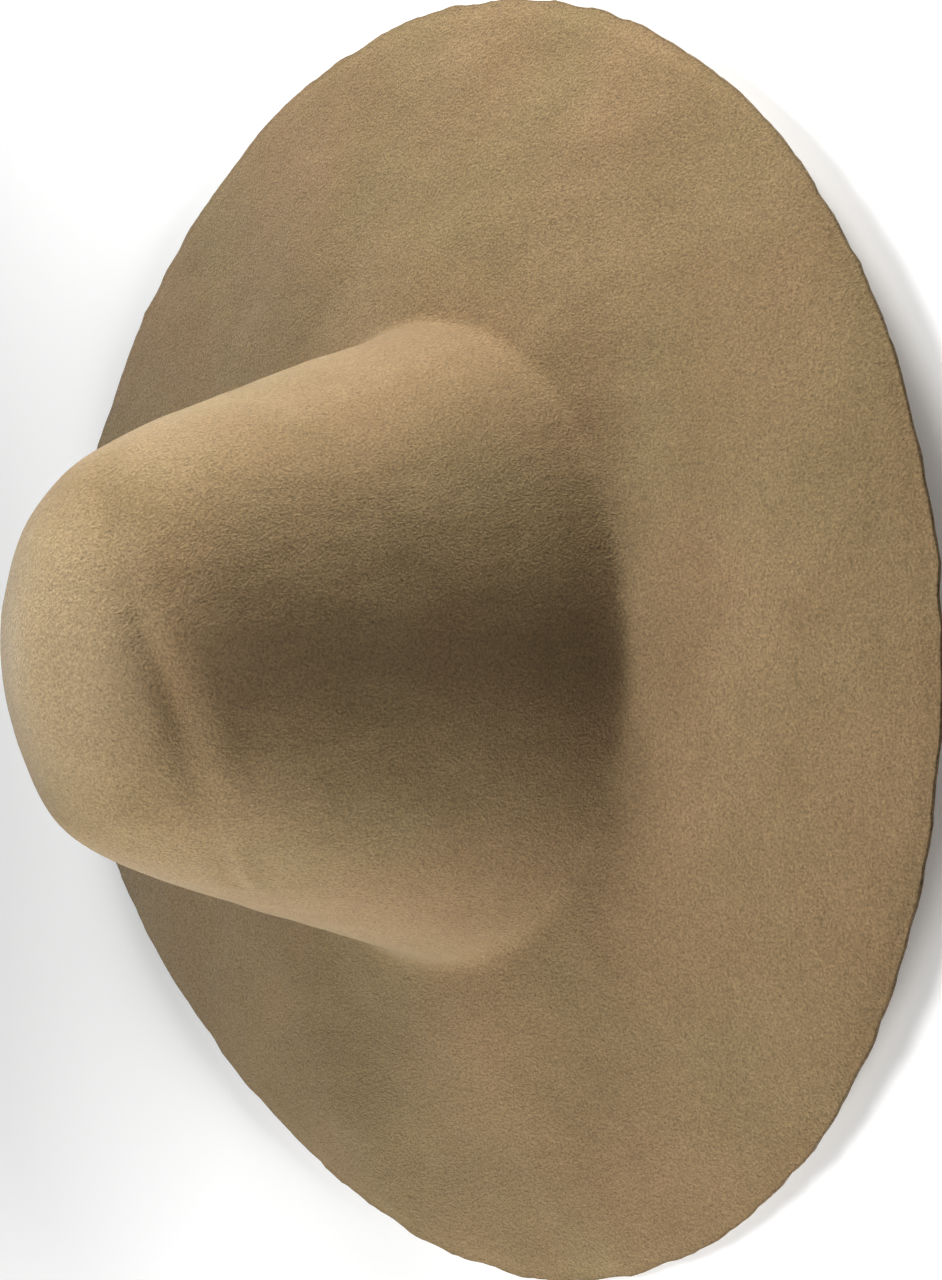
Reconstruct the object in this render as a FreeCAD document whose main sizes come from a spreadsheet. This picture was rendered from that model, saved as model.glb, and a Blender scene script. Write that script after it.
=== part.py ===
import FreeCAD, Part
import Sketcher
import math
import os

# An open-crown felt hat with a wide brim, standing on the front and rear ends of its brim.
# Row frame: +Z up, Z = 0 at the surface that the hat stands on, +X the wearer's left,
# -Y the wearer's front. Heights called "above the break" start at the line where the
# crown turns into the brim. Every length is in millimetres.

Vector = FreeCAD.Vector
Constraint = Sketcher.Constraint

doc = FreeCAD.newDocument("open_crown_hat")

# ---------------------------------------------------------------------------
# Driving dimensions
# ---------------------------------------------------------------------------

SIZES = [
    # The felt, one piece from the tip of the crown to the edge of the brim.
    ("opening_half_width", 91.0, "outside of the crown at the break, side to side, halved"),
    ("opening_half_length", 107.0, "outside of the crown at the break, front to rear, halved"),
    ("crown_height", 161.0, "break to tip"),
    ("crown_taper", 0.45, "share of its half axes that the wall would lose over the full height"),
    ("tip_fall", 0.45, "curvature of the domed tip, as a share of the height"),
    ("shoulder_blend", 0.073, "softness of the turn from wall to tip, as a share of the height"),
    ("brim_half_width", 208.5, "centre to the brim's side edges"),
    ("brim_half_length", 216.5, "centre to the brim's front and rear edges"),
    ("brim_drop", 18.0, "mean fall from the break to the edge"),
    ("brim_saddle", 8.0, "extra fall at front and rear, and rise at the sides"),
    ("brim_curve", 0.15, "share of the brim's fall that comes late, towards its edge"),
    ("felt_thickness", 2.4, "felt"),
    ("break_blend", 2.5, "softness of the break at its crispest"),
    ("break_spread", 2.5, "extra softness of the break towards the front"),
    ("felt_slant", 1.04, "horizontal thickness of the sloping wall over its true thickness"),
    # The sweatband and what holds it.
    ("clearance", 0.35, "gap between neighbouring soft pieces"),
    ("band_standoff", 1.3, "gap between the felt and the back of the leather"),
    ("band_height", 57.0, "sweatband leather"),
    ("band_foot", 0.9, "lower edge of the leather above the break"),
    ("leather_thickness", 0.9, "sweatband leather"),
    ("joint_slit", 0.3, "gap between the butted ends of the leather"),
    ("reed_radius", 0.9, "plastic reed in the sweatband's edge"),
    ("reed_drop", 0.5, "centre of the reed below the break"),
    ("reed_shift", 0.2, "reed nearer to the felt than the middle of the leather"),
    ("tape_play", 0.1, "gap between the reed and the tape round it"),
    ("tape_thickness", 0.25, "woven tape folded round the reed"),
    ("tape_flap", 12.0, "height of the tape's flap behind the leather"),
    ("tape_lip", 1.0, "height of the tape's front lip above the reed's centre"),
    ("flap_slope", 0.28, "inward lean of the flap, per unit of height"),
    ("backing_width", 12.0, "strip behind the leather's rear joint"),
    ("backing_height", 23.0, "strip behind the leather's rear joint"),
    ("backing_foot", 13.5, "lower edge of that strip above the break"),
    ("backing_thickness", 0.35, "strip behind the leather's rear joint"),
    ("backing_gap", 0.2, "gap between that strip and the leather"),
    # The ribbon bow at the rear joint.
    ("ribbon_width", 6.0, "bow ribbon"),
    ("ribbon_thickness", 0.5, "bow ribbon"),
    ("loop_half_length", 7.0, "each loop of the bow"),
    ("loop_half_depth", 1.5, "each loop of the bow"),
    ("loop_set", 1.0, "extra room between the loops and the curving leather"),
    ("loop_gap", 0.2, "gap between each loop and the knot"),
    ("knot_length", 4.0, "knot, along the ribbon"),
    ("knot_depth", 4.6, "knot, from the leather inwards"),
    ("knot_wall", 0.6, "ribbon wrapped as the knot"),
    ("tail_reach", 11.0, "far end of each tail, sideways from the bow's centre"),
    ("tail_fall", 6.5, "far end of each tail, below the bow's centre"),
    ("tail_notch", 1.5, "slant and notch of each tail's cut end"),
    ("bow_rise", 12.0, "centre of the bow above the break"),
    # The lining.
    ("lining_thickness", 0.4, "lining cloth"),
    ("lining_foot", 38.0, "lower edge of the lining above the break"),
    ("lining_knee", 60.0, "height where the lining leaves the felt"),
    ("tip_height", 134.0, "underside of the lining's flat tip above the break"),
    ("tip_half_width", 45.0, "lining tip"),
    ("tip_half_length", 53.0, "lining tip"),
    ("tip_trim", 0.1, "tip cloth's edge inside the seam"),
    ("piping_radius", 0.8, "cord round the tip's seam"),
    ("piping_gap", 0.3, "gap between the tip's edge and the cord"),
    ("protector_margin", 7.0, "protector's edge inside the tip's edge"),
    ("protector_thickness", 0.3, "clear plastic"),
    ("protector_gap", 0.1, "gap between the tip cloth and the plastic"),
    # Thread.
    ("thread_radius", 0.18, "sewing thread"),
    ("thread_gap", 0.1, "gap between a stitch and the face that it lies on"),
    ("tape_stitch_count", 180, "stitches from the leather to the tape"),
    ("felt_stitch_count", 84, "stitches from the tape to the felt"),
    ("seam_stitch_count", 96, "stitches of the lining's seam"),
    ("film_stitch_count", 72, "stitches that hold the protector"),
    ("seam_inset", 2.0, "stitches of the lining's seam inside the tip's edge"),
    ("film_stitch_inset", 1.5, "stitches of the protector inside its own edge"),
]

sheet = doc.addObject("Spreadsheet::Sheet", "sizes")
for row, (alias, value, note) in enumerate(SIZES, start=1):
    sheet.set(f"A{row}", note)
    sheet.set(f"B{row}", str(value))
    sheet.setAlias(f"B{row}", alias)
doc.recompute()


def size(alias):
    return float(sheet.get(alias))


# Small departures of the cut edge from a true oval: turns per round, then the cosine and
# sine parts. EDGE_WAVES stretch the edge outwards and EDGE_LIFTS raise it, both in mm.
EDGE_WAVES = [(1, 1.8, 1.8), (2, 0.0, -3.2), (3, -2.1, 0.0), (4, 0.6, 0.8), (5, -0.9, -0.4)]
EDGE_LIFTS = [(2, 0.0, 0.5), (3, -1.0, 0.0)]

# The lowest point of the brim's underside is at Z = 0, so the break stands this high.
BREAK_HEIGHT = "sizes.brim_drop + sizes.brim_saddle + sizes.felt_thickness"
break_height = size("brim_drop") + size("brim_saddle") + size("felt_thickness")

# ---------------------------------------------------------------------------
# The felt
# ---------------------------------------------------------------------------

POLES_AROUND = 48
SKIN_BANDS = 8
EDGE_BULGE = 0.5
COARSE_STEP = 9.0
FINE_STEP = 3.5


def soft_less(first, second, blend):
    """The smaller of two numbers, with the change from one to the other rounded off."""
    low = min(first, second)
    total = math.exp((low - first) / blend) + math.exp((low - second) / blend)
    return low - blend * math.log(total)


def soft_more(first, second, blend):
    return -soft_less(-first, -second, blend)


def waves(terms, angle):
    return sum(c * math.cos(n * angle) + s * math.sin(n * angle) for n, c, s in terms)


def brim_edge(angle):
    """The top of the cut edge at an angle from +X, from the centre of the break."""
    stretch = 1 + waves(EDGE_WAVES, angle) / size("brim_half_length")
    height = size("brim_saddle") * math.cos(2 * angle) - size("brim_drop")
    return Vector(
        size("brim_half_width") * stretch * math.cos(angle),
        size("brim_half_length") * stretch * math.sin(angle),
        height + waves(EDGE_LIFTS, angle),
    )


def crown_rise(share):
    """Height of the crown where its half axes are this share of those at the break."""
    wall = (1 - share) / size("crown_taper")
    dome = 1 - size("tip_fall") * share**2
    return size("crown_height") * soft_less(wall, dome, size("shoulder_blend"))


def felt_top(run, angle):
    """A point of the felt's upper face: run is 0 at the tip, 1 at the break, 2 at the edge."""
    edge = brim_edge(angle)
    turn_x = size("opening_half_width") * math.cos(angle)
    turn_y = size("opening_half_length") * math.sin(angle)
    turn_span = math.hypot(turn_x, turn_y)
    reach = (run - 1) * turn_span / (math.hypot(edge.x, edge.y) - turn_span)
    point = Vector(turn_x * run, turn_y * run, 0)
    if run > 1:
        reach = run - 1
        point = Vector(turn_x + (edge.x - turn_x) * reach, turn_y + (edge.y - turn_y) * reach, 0)
    share_x = point.x / size("opening_half_width")
    share_y = point.y / size("opening_half_length")
    crown = crown_rise(math.hypot(share_x, share_y))
    late = size("brim_curve")
    brim = edge.z * reach * (1 - late + late * reach)
    front = (1 - math.sin(angle)) / 2
    point.z = soft_more(crown, brim, size("break_blend") + size("break_spread") * front)
    return point


def felt_normal(run, angle):
    """The upward normal of the felt's upper face."""
    nudge = 0.002
    if run < nudge:
        return Vector(0, 0, 1)
    along = felt_top(run + nudge, angle) - felt_top(run - nudge, angle)
    around = felt_top(run, angle + nudge) - felt_top(run, angle - nudge)
    return along.cross(around).normalize()


def felt_runs():
    """Places from the tip to the edge, closer together where the felt turns sharply."""
    runs = [0.0]
    while runs[-1] < 2:
        here = runs[-1]
        rear = math.pi / 2
        speed = (felt_top(here + 0.01, rear) - felt_top(here, rear)).Length / 0.01
        near_break = abs(here - 1) * size("opening_half_length") < COARSE_STEP
        runs.append(here + (FINE_STEP if near_break else COARSE_STEP) / speed)
    last_step = FINE_STEP / 2 / (size("brim_half_length") - size("opening_half_length"))
    return [run for run in runs if run < 2 - 2 * last_step] + [2 - last_step]


def ring(run, depth, outward=0.0):
    """Poles round the hat at one run, a depth below the upper face."""
    # A cubic spline through a circle's poles is smaller than the circle by this ratio.
    gain = 3 / (2 + math.cos(2 * math.pi / POLES_AROUND))
    poles = []
    for index in range(POLES_AROUND):
        angle = 2 * math.pi * index / POLES_AROUND
        point = felt_top(run, angle) - felt_normal(run, angle) * depth
        spread = gain * (1 + outward / math.hypot(point.x, point.y)) if run > 0 else 1.0
        poles.append(Vector(point.x * spread, point.y * spread, point.z))
    return poles


def flat_tip(rings):
    """Level the ring beside the tip with the tip, so that the crown has no point."""
    for pole in rings[1]:
        pole.z = rings[0][0].z
    return rings


def skin_bands(skin):
    """The felt's skin as several faces, each one a band all the way round the hat."""
    first, last, start, end = skin.bounds()
    faces = []
    for index in range(SKIN_BANDS):
        band = skin.copy()
        low = first + (last - first) * index / SKIN_BANDS
        high = first + (last - first) * (index + 1) / SKIN_BANDS
        band.segment(low, high, start, end)
        faces.append(band.toShape())
    return faces


def make_felt():
    thickness = size("felt_thickness")
    runs = felt_runs()
    outside = flat_tip([ring(run, 0.0) for run in runs])
    inside = flat_tip([ring(run, thickness) for run in runs])
    edge = [
        ring(2.0, 0.0),
        ring(2.0, thickness / 2, EDGE_BULGE),
        ring(2.0, thickness),
    ]
    rings = outside + edge + inside[::-1]
    degree = 3
    across = len(rings)
    skin = Part.BSplineSurface()
    skin.buildFromPolesMultsKnots(
        rings,
        [degree + 1] + [1] * (across - degree - 1) + [degree + 1],
        [1] * (POLES_AROUND + 1),
        list(range(across - degree + 1)),
        list(range(POLES_AROUND + 1)),
        False,
        True,
        degree,
        degree,
    )
    felt = Part.Solid(Part.makeShell(skin_bands(skin)))
    if felt.Volume < 0:
        felt.reverse()
    feature = doc.addObject("Part::Feature", "felt_body")
    feature.Shape = felt
    return feature


# ---------------------------------------------------------------------------
# Ovals that follow the inside of the crown
# ---------------------------------------------------------------------------


def wall_formula(half_axis, height, inset):
    """Expression for a half axis of the felt's inner wall at a height, less an inset."""
    return (
        f"sizes.{half_axis} * (1 - sizes.crown_taper * ({height}) / sizes.crown_height)"
        f" - sizes.felt_slant * sizes.felt_thickness - ({inset})"
    )


def wall_point(height, inset, angle):
    """The same wall as a point, for the pieces that are made by a loop."""
    share = 1 - size("crown_taper") * height / size("crown_height")
    skin = size("felt_slant") * size("felt_thickness") + inset
    return Vector(
        (size("opening_half_width") * share - skin) * math.cos(angle),
        (size("opening_half_length") * share - skin) * math.sin(angle),
        height,
    )


def oval(name, half_width, half_length, height):
    """An upright oval wire whose long axis runs front to rear."""
    wire = doc.addObject("Part::Ellipse", name)
    lying = FreeCAD.Rotation(Vector(0, 0, 1), 90)
    wire.Placement = FreeCAD.Placement(Vector(0, 0, 0), lying)
    wire.MajorRadius = 100
    wire.MinorRadius = 50
    wire.setExpression("MajorRadius", half_length)
    wire.setExpression("MinorRadius", half_width)
    wire.setExpression("Placement.Base.z", height)
    return wire


def oval_stack(name, levels, straight=True):
    """A solid lofted from oval to oval; each level is half width, half length, height."""
    loft = doc.addObject("Part::Loft", name)
    loft.Sections = [oval(f"{name}_{index}", *level) for index, level in enumerate(levels)]
    loft.Solid = True
    loft.Ruled = straight
    return loft


def wall_level(height, inset, beyond="0"):
    """A level whose size is the felt wall's at one height, drawn a little further on."""
    half_width = wall_formula("opening_half_width", f"{height} + {beyond}", inset)
    half_length = wall_formula("opening_half_length", f"{height} + {beyond}", inset)
    return half_width, half_length, f"{height} + {beyond}"


def cut(name, base, tool):
    piece = doc.addObject("Part::Cut", name)
    piece.Base = base
    piece.Tool = tool
    return piece


def lift_to_break(piece):
    """Stand a piece that was drawn from the break at its height above the ground."""
    piece.setExpression("Placement.Base.z", BREAK_HEIGHT)
    return piece


# ---------------------------------------------------------------------------
# Sketches
# ---------------------------------------------------------------------------


def new_body(name):
    body = doc.addObject("PartDesign::Body", name)
    body.AllowCompound = True
    return body


def sketch_on(body, name, role):
    """A sketch on one of the body's own origin planes."""
    sketch = body.newObject("Sketcher::SketchObject", name)
    plane = next(item for item in body.Origin.OriginFeatures if item.Role == role)
    sketch.AttachmentSupport = (plane, [""])
    sketch.MapMode = "FlatFace"
    return sketch


def drive(sketch, constraint, formula):
    """Add a dimension to a sketch and bind it to the sheet."""
    index = sketch.addConstraint(constraint)
    sketch.setExpression(f"Constraints[{index}]", formula)
    return index


def draw_oval(sketch, half_width, half_length):
    """An oval centred on the origin, its long axis along the sketch's second axis."""
    major = Vector(0, 100, 0)
    minor = Vector(50, 0, 0)
    curve = sketch.addGeometry(Part.Ellipse(major, minor, Vector(0, 0, 0)), False)
    long_axis = curve + 1
    short_axis = curve + 2
    sketch.exposeInternalGeometry(curve)
    sketch.addConstraint(Constraint("Coincident", curve, 3, -1, 1))
    sketch.addConstraint(Constraint("Vertical", long_axis))
    drive(sketch, Constraint("Distance", long_axis, 200.0), f"2 * ({half_length})")
    drive(sketch, Constraint("Distance", short_axis, 100.0), f"2 * ({half_width})")
    return curve


def draw_box(sketch, width, height, low="0"):
    """A rectangle centred on the vertical axis, its lower side at a height."""
    corners = [Vector(-1, 1, 0), Vector(1, 1, 0), Vector(1, 3, 0), Vector(-1, 3, 0)]
    first = sketch.GeometryCount
    for index in range(4):
        sketch.addGeometry(Part.LineSegment(corners[index], corners[(index + 1) % 4]), False)
    for index in range(4):
        here = first + index
        after = first + (index + 1) % 4
        sketch.addConstraint(Constraint("Coincident", here, 2, after, 1))
    sketch.addConstraint(Constraint("Symmetric", first, 1, first, 2, -2))
    sketch.addConstraint(Constraint("Vertical", first + 1))
    sketch.addConstraint(Constraint("Horizontal", first + 2))
    sketch.addConstraint(Constraint("Vertical", first + 3))
    drive(sketch, Constraint("Distance", first, 2.0), width)
    drive(sketch, Constraint("Distance", first + 1, 2.0), height)
    drive(sketch, Constraint("DistanceY", -1, 1, first, 1, 1.0), low)


def pad(body, name, sketch, length, centred=False):
    feature = body.newObject("PartDesign::Pad", name)
    feature.Profile = sketch
    feature.Midplane = centred
    feature.setExpression("Length", length)
    return feature


# ---------------------------------------------------------------------------
# The sweatband, its reed and its tape
# ---------------------------------------------------------------------------

# The reed hangs under the leather, a little nearer to the felt than the leather's middle.
REED_INSET = "(sizes.band_standoff + sizes.leather_thickness / 2 - sizes.reed_shift)"
reed_inset = size("band_standoff") + size("leather_thickness") / 2 - size("reed_shift")
tape_inner = size("reed_radius") + size("tape_play")
tape_outer = tape_inner + size("tape_thickness")
leather_face = size("band_standoff") + size("felt_slant") * size("leather_thickness")


def make_sweatband():
    """One strip of leather round the inside of the crown, its ends butted at the rear."""
    foot = "sizes.band_foot"
    top = "(sizes.band_foot + sizes.band_height)"
    back = "sizes.band_standoff"
    face = "sizes.band_standoff + sizes.felt_slant * sizes.leather_thickness"
    outside = oval_stack("band_back", [wall_level(foot, back), wall_level(top, back)])
    inside = oval_stack("band_face", [wall_level(foot, face, "-1"), wall_level(top, face, "1")])
    ring_band = cut("band_ring", outside, inside)
    slit = doc.addObject("Part::Box", "band_slit")
    slit.setExpression("Length", "sizes.joint_slit")
    slit.setExpression("Width", "sizes.opening_half_length")
    slit.setExpression("Height", "2 * sizes.band_height")
    slit.setExpression("Placement.Base.x", "-sizes.joint_slit / 2")
    return lift_to_break(cut("sweatband", ring_band, slit))


def make_reed():
    """A round plastic reed that keeps the sweatband's lower edge open."""
    half_width = wall_formula("opening_half_width", "0", REED_INSET)
    half_length = wall_formula("opening_half_length", "0", REED_INSET)
    body = new_body("sweatband_reed")
    path = sketch_on(body, "reed_path", "XY_Plane")
    draw_oval(path, half_width, half_length)
    section = sketch_on(body, "reed_section", "YZ_Plane")
    section.addGeometry(Part.Circle(Vector(100, 0, 0), Vector(0, 0, 1), 1), False)
    section.addConstraint(Constraint("PointOnObject", 0, 3, -1))
    drive(section, Constraint("Radius", 0, 1.0), "sizes.reed_radius")
    drive(section, Constraint("DistanceX", -1, 1, 0, 3, 100.0), half_length)
    doc.recompute()
    sweep = body.newObject("PartDesign::AdditivePipe", "reed_sweep")
    sweep.Profile = section
    sweep.Spine = (path, ["Edge1"])
    body.setExpression("Placement.Base.z", f"{BREAK_HEIGHT} - sizes.reed_drop")
    return body


def make_reed_tape():
    """Tape that runs down behind the leather, round the reed and up to a short lip."""
    half_width = wall_formula("opening_half_width", "0", REED_INSET)
    half_length = wall_formula("opening_half_length", "0", REED_INSET)
    body = new_body("reed_tape")
    path = sketch_on(body, "tape_path", "XY_Plane")
    draw_oval(path, half_width, half_length)
    section = sketch_on(body, "tape_section", "YZ_Plane")
    centre = wall_point(0, reed_inset, math.pi / 2).y
    inner = tape_inner
    outer = tape_outer
    flap = size("tape_flap")
    lean = size("flap_slope") * flap
    lip = size("tape_lip")
    corners = [
        Vector(centre + outer, 0, 0),
        Vector(centre + outer - lean, flap, 0),
        Vector(centre + inner - lean, flap, 0),
        Vector(centre + inner, 0, 0),
        Vector(centre - inner, 0, 0),
        Vector(centre - inner, lip, 0),
        Vector(centre - outer, lip, 0),
        Vector(centre - outer, 0, 0),
    ]
    bottom_inner = Vector(centre, -inner, 0)
    bottom_outer = Vector(centre, -outer, 0)
    edges = [
        Part.LineSegment(corners[0], corners[1]),
        Part.LineSegment(corners[1], corners[2]),
        Part.LineSegment(corners[2], corners[3]),
        Part.Arc(corners[3], bottom_inner, corners[4]),
        Part.LineSegment(corners[4], corners[5]),
        Part.LineSegment(corners[5], corners[6]),
        Part.LineSegment(corners[6], corners[7]),
        Part.Arc(corners[7], bottom_outer, corners[0]),
    ]
    for edge in edges:
        section.addGeometry(edge, False)
    doc.recompute()
    sweep = body.newObject("PartDesign::AdditivePipe", "tape_sweep")
    sweep.Profile = section
    sweep.Spine = (path, ["Edge1"])
    body.setExpression("Placement.Base.z", f"{BREAK_HEIGHT} - sizes.reed_drop")
    return body


def rear_place(height, inset):
    """A placement at the rear of the crown's inside, leaning with its wall."""
    slope = size("crown_taper") * size("opening_half_length") / size("crown_height")
    lean = FreeCAD.Rotation(Vector(1, 0, 0), math.degrees(math.atan(slope)))
    place = wall_point(height, inset, math.pi / 2)
    place.z += break_height
    return FreeCAD.Placement(place, lean)


def make_rear_joint_backing():
    """A cloth strip glued behind the butted ends of the leather."""
    body = new_body("rear_joint_backing")
    outline = sketch_on(body, "backing_outline", "XZ_Plane")
    draw_box(outline, "sizes.backing_width", "sizes.backing_height")
    doc.recompute()
    pad(body, "backing_pad", outline, "sizes.backing_thickness")
    inset = size("band_standoff") - size("backing_gap") - size("backing_thickness")
    body.Placement = rear_place(size("backing_foot"), inset)
    return body


# ---------------------------------------------------------------------------
# The bow at the rear joint
# ---------------------------------------------------------------------------


def bow_place():
    """In front of the leather's face at the rear, leaning with it."""
    inset = leather_face + size("clearance") + size("loop_half_depth") + size("loop_set")
    return rear_place(size("bow_rise"), inset)


def make_bow_ribbon():
    """Two flat loops and two tails of one ribbon, joined by the part inside the knot."""
    body = new_body("bow_ribbon")
    middle = size("knot_length") / 2 + size("loop_half_length") + size("loop_gap")
    long_half = size("loop_half_length")
    deep_half = size("loop_half_depth")
    ribbon = size("ribbon_thickness")
    loops = sketch_on(body, "loop_outlines", "XY_Plane")
    for side in (-1, 1):
        centre = Vector(side * middle, 0, 0)
        for shrink in (0, ribbon):
            major = centre + Vector(long_half - shrink, 0, 0)
            minor = centre + Vector(0, deep_half - shrink, 0)
            loops.addGeometry(Part.Ellipse(major, minor, centre), False)
    core = sketch_on(body, "core_outline", "XZ_Plane")
    core_length = "sizes.knot_length + 3 * sizes.ribbon_thickness"
    draw_box(core, core_length, "sizes.ribbon_width", "-sizes.ribbon_width / 2")
    tails = sketch_on(body, "tail_outlines", "XZ_Plane")
    half_width = size("ribbon_width") / 2
    start = size("knot_length") / 2 - size("ribbon_thickness")
    out = size("tail_reach")
    drop = size("tail_fall")
    notch = size("tail_notch")
    for side in (-1, 1):
        corners = [
            Vector(side * start, half_width - ribbon, 0),
            Vector(side * (out + notch), half_width - drop, 0),
            Vector(side * (out - notch), -drop, 0),
            Vector(side * (out - notch / 3), -half_width - drop, 0),
            Vector(side * start, ribbon - half_width, 0),
        ]
        for index, corner in enumerate(corners):
            following = corners[(index + 1) % len(corners)]
            tails.addGeometry(Part.LineSegment(corner, following), False)
    doc.recompute()
    pad(body, "loops_pad", loops, "sizes.ribbon_width", centred=True)
    doc.recompute()
    pad(body, "core_pad", core, "2 * sizes.ribbon_thickness", centred=True)
    doc.recompute()
    pad(body, "tails_pad", tails, "sizes.ribbon_thickness", centred=True)
    body.Placement = bow_place()
    return body


def make_bow_knot():
    """A short ribbon wrapped round the middle of the bow."""
    body = new_body("bow_knot")
    outline = sketch_on(body, "knot_outline", "YZ_Plane")
    hole_width = "sizes.knot_depth - 2 * sizes.knot_wall"
    hole_height = "sizes.ribbon_width + 2 * sizes.clearance"
    knot_height = f"{hole_height} + 2 * sizes.knot_wall"
    draw_box(outline, "sizes.knot_depth", knot_height, f"-({knot_height}) / 2")
    draw_box(outline, hole_width, hole_height, f"-({hole_height}) / 2")
    doc.recompute()
    pad(body, "knot_pad", outline, "sizes.knot_length", centred=True)
    body.Placement = bow_place()
    return body


# ---------------------------------------------------------------------------
# The lining
# ---------------------------------------------------------------------------


def make_lining_side():
    """Cloth from behind the sweatband's top edge up to the seam round the tip."""
    def skin(name, inset):
        tip_inset = f"({inset} - sizes.clearance)"
        top = (
            f"sizes.tip_half_width - {tip_inset}",
            f"sizes.tip_half_length - {tip_inset}",
            "sizes.tip_height - sizes.lining_thickness",
        )
        heights = [
            "sizes.lining_foot",
            "(sizes.lining_foot + sizes.lining_knee) / 2",
            "sizes.lining_knee",
        ]
        levels = [wall_level(height, inset) for height in heights]
        return oval_stack(name, levels + [top], straight=False)

    outside = skin("lining_back", "sizes.clearance")
    inside = skin("lining_face", "(sizes.clearance + sizes.lining_thickness)")
    return lift_to_break(cut("lining_side", outside, inside))


def make_flat_oval(name, inset, thickness, height):
    """A flat oval sheet parallel to the lining's tip."""
    body = new_body(name)
    outline = sketch_on(body, f"{name}_outline", "XY_Plane")
    draw_oval(outline, f"sizes.tip_half_width - {inset}", f"sizes.tip_half_length - {inset}")
    doc.recompute()
    pad(body, f"{name}_pad", outline, thickness)
    body.setExpression("Placement.Base.z", f"{BREAK_HEIGHT} + {height}")
    return body


def make_piping():
    """The covered cord round the seam between the lining's tip and side."""
    out = "sizes.piping_radius + sizes.piping_gap"
    body = new_body("lining_piping")
    path = sketch_on(body, "piping_path", "XY_Plane")
    draw_oval(path, f"sizes.tip_half_width + {out}", f"sizes.tip_half_length + {out}")
    section = sketch_on(body, "piping_section", "YZ_Plane")
    section.addGeometry(Part.Circle(Vector(50, 0, 0), Vector(0, 0, 1), 1), False)
    section.addConstraint(Constraint("PointOnObject", 0, 3, -1))
    drive(section, Constraint("Radius", 0, 1.0), "sizes.piping_radius")
    drive(section, Constraint("DistanceX", -1, 1, 0, 3, 50.0), f"sizes.tip_half_length + {out}")
    doc.recompute()
    sweep = body.newObject("PartDesign::AdditivePipe", "piping_sweep")
    sweep.Profile = section
    sweep.Spine = (path, ["Edge1"])
    body.setExpression("Placement.Base.z", f"{BREAK_HEIGHT} + sizes.tip_height")
    return body


# ---------------------------------------------------------------------------
# Thread
# ---------------------------------------------------------------------------


# Each stitch of a running seam covers this share of its pitch.
RUNNING_SHARE = 0.7


def stitch(start, end):
    """One straight stitch between two points."""
    return Part.makeCylinder(size("thread_radius"), (end - start).Length, start, end - start)


def thread(name, stitches):
    """A node that holds all the stitches of one seam."""
    feature = doc.addObject("Part::Feature", name)
    feature.Shape = Part.makeCompound(stitches)
    feature.Placement = FreeCAD.Placement(Vector(0, 0, break_height), FreeCAD.Rotation())
    return feature


def ring_of_stitches(name, count, share, start_at, end_at):
    """Stitches round an oval; share is the part of the pitch that each one covers."""
    pitch = 2 * math.pi / size(count)
    stitches = []
    for index in range(int(size(count))):
        angle = (index + 0.5) * pitch
        stitches.append(stitch(start_at(angle), end_at(angle + share * pitch)))
    return thread(name, stitches)


def make_tape_stitches():
    """Slanting stitches over the leather's lower edge, down to the tape's front lip."""
    clear = size("thread_radius") + size("thread_gap")
    above_edge = 2.8
    below_break = 0.2

    def upper(angle):
        return wall_point(size("band_foot") + above_edge, leather_face + clear, angle)

    def lower(angle):
        return wall_point(-below_break, reed_inset + tape_outer + clear, angle)

    return ring_of_stitches("tape_stitches", "tape_stitch_count", 0.45, upper, lower)


def make_felt_stitches():
    """Running stitches that hold the tape's flap to the felt, behind the leather."""
    rise = 3.0
    lean = size("flap_slope") * (rise + size("reed_drop"))
    inset = reed_inset - tape_inner + lean + size("thread_radius") + size("thread_gap") / 2

    def on_flap(angle):
        return wall_point(0, inset, angle) + Vector(0, 0, rise)

    return ring_of_stitches("felt_stitches", "felt_stitch_count", RUNNING_SHARE, on_flap, on_flap)


def make_rear_joint_stitches():
    """A zigzag over the butted ends of the leather, on the face towards the head."""
    inset = leather_face + size("thread_radius") + size("thread_gap")
    half_swing = 2.2
    rise = 1.6
    gap = 0.35
    margin = 1.5
    bow_gap = size("ribbon_width") / 2 + margin
    stitches = []
    side = 1
    height = size("band_foot") + 3 * margin
    while height < size("band_height") - margin:
        start = wall_point(height + gap / 2, inset, math.pi / 2)
        end = wall_point(height + rise - gap / 2, inset, math.pi / 2)
        start.x = side * half_swing
        end.x = -side * half_swing
        middle = height + rise / 2
        if abs(middle - size("bow_rise")) > bow_gap:
            stitches.append(stitch(start, end))
        side = -side
        height += rise
    return thread("rear_joint_stitches", stitches)


def make_tip_stitches(name, count, inset, drop):
    """Running stitches under the lining's tip, at an inset from its edge and a drop below it."""
    half_width = size("tip_half_width") - inset
    half_length = size("tip_half_length") - inset
    height = size("tip_height") - drop - size("thread_gap") - size("thread_radius")

    def at(angle):
        return Vector(half_width * math.cos(angle), half_length * math.sin(angle), height)

    return ring_of_stitches(name, count, RUNNING_SHARE, at, at)


# ---------------------------------------------------------------------------
# Build, check and write
# ---------------------------------------------------------------------------

FILM_DROP = "sizes.protector_thickness + sizes.protector_gap"
film_drop = size("protector_thickness") + size("protector_gap")
film_stitch_inset = size("protector_margin") + size("film_stitch_inset")

felt = make_felt()
felt.Placement = FreeCAD.Placement(Vector(0, 0, break_height), FreeCAD.Rotation())

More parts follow.
